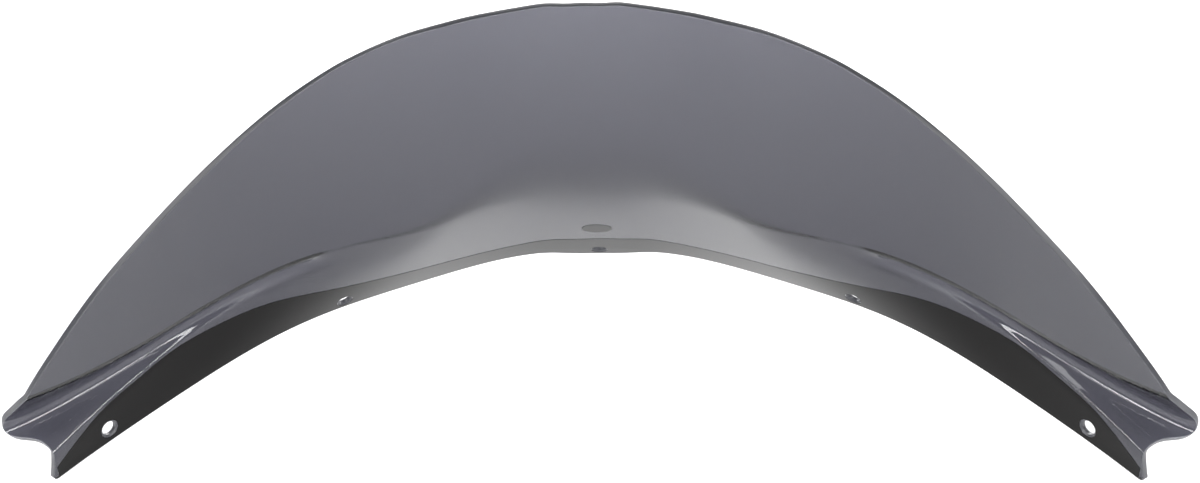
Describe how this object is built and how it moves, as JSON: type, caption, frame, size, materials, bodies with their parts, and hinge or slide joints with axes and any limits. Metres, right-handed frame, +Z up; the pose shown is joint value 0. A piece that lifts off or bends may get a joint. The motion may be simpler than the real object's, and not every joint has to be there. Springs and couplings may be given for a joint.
{
  "type": "motorcycle windshield screen",
  "caption": "Smoke-tinted fairing windshield bent round the fairing, with a flared top, pressed side hips, a dark border along the lower edge and mounting holes.",
  "frame": {"origin": "centre of the middle mounting hole, halfway along its wall", "axes": "+X along the rider's right, across the screen; +Y forward, away from the rider; +Z up, with the screen leaning back as it is mounted"},
  "size_m": [0.8378, 0.2726, 0.312],
  "materials": {
    "smoke_sheet": "polished clear plastic with a smoke tint",
    "border_ink": "gloss black screen print",
    "emblem_ink": "dark grey screen print"
  },
  "bodies": {
    "root": {"screen_sheet": "smoke_sheet", "edge_border": "border_ink", "emblem": "emblem_ink"}
  },
  "joints": []
}
